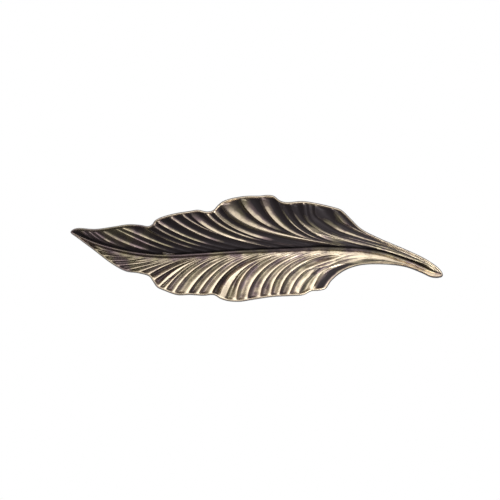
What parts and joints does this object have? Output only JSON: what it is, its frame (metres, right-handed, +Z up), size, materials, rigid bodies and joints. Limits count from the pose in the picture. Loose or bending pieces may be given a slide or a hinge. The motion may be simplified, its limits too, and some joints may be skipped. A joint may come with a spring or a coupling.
{
  "type": "cabinet handle",
  "caption": "Leaf-shaped cast cabinet handle in antique brass: a fluted, veined blade with a curved stem, arched over two posts with tapped screw holes.",
  "frame": {"origin": "on the door face, halfway between the axes of the two screw holes", "axes": "+X along the line of the two screw holes, towards the stem; +Y from the leaf into the door; +Z up in use"},
  "size_m": [0.15, 0.027, 0.0429],
  "materials": {
    "antique_brass": "antique brass over a zinc casting: dark patina in the flutes, rubbed bright on the veins and the rim, semi-gloss lacquer"
  },
  "bodies": {
    "root": {"leaf_handle": "antique_brass"}
  },
  "joints": []
}
